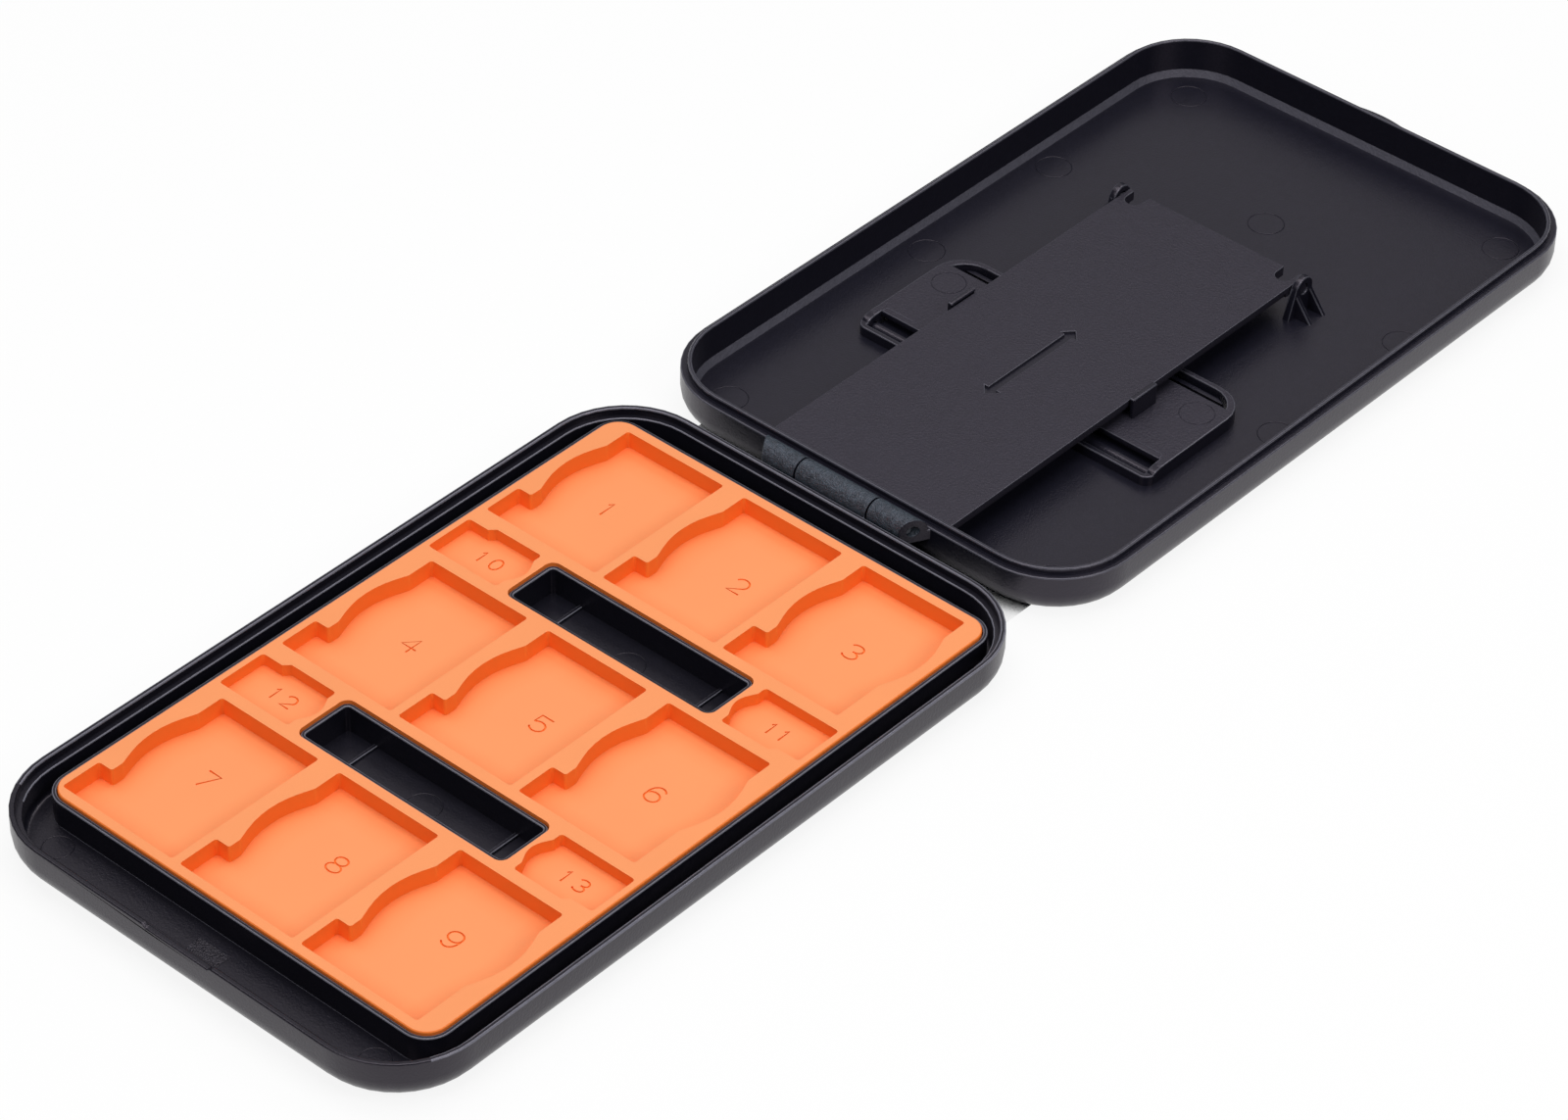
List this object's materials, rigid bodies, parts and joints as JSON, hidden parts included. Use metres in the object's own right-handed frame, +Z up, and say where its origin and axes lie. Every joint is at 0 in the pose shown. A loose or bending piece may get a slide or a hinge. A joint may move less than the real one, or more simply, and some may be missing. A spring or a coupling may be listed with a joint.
{
  "type": "game card storage stand",
  "caption": "Flat clamshell case with a soft insert of card slots in its base; the hinged lid props up on a swing-out plate and has a fold-out ledge, so it stands a handheld device.",
  "frame": {"origin": "on the table, below the middle of the hinge axis, with the case open flat", "axes": "+X along the hinge, +Y from the hinge into the lid, +Z up out of the open trays"},
  "size_m": [0.0956, 0.3076, 0.0109],
  "materials": {
    "shell_black": "fine satin grain, moulded",
    "insert_orange": "matt soft-touch",
    "lid_black": "fine satin grain, moulded",
    "plate_black": "fine matt grain, moulded",
    "ledge_black": "fine satin grain, moulded",
    "pin_steel": "plain drawn wire"
  },
  "bodies": {
    "base": {"base_shell": "shell_black", "card_insert": "insert_orange", "hinge_pin": "pin_steel"},
    "lid": {"lid_shell": "lid_black"},
    "plate": {"prop_plate": "plate_black"},
    "ledge": {"fold_ledge": "ledge_black"}
  },
  "joints": [
    {"name": "lid_hinge", "type": "hinge", "parent": "base", "child": "lid", "pos_m": [0, 0, 0.0085], "axis": [1, 0, 0], "range_deg": [0, 127]},
    {"name": "plate_swing", "type": "hinge", "parent": "lid", "child": "plate", "pos_m": [0, 0.102, 0.007], "axis": [-1, 0, 0], "range_deg": [0, 62]},
    {"name": "ledge_fold", "type": "hinge", "parent": "lid", "child": "ledge", "pos_m": [0, 0.046, 0.0019], "axis": [-1, 0, 0], "range_deg": [0, 90]}
  ]
}
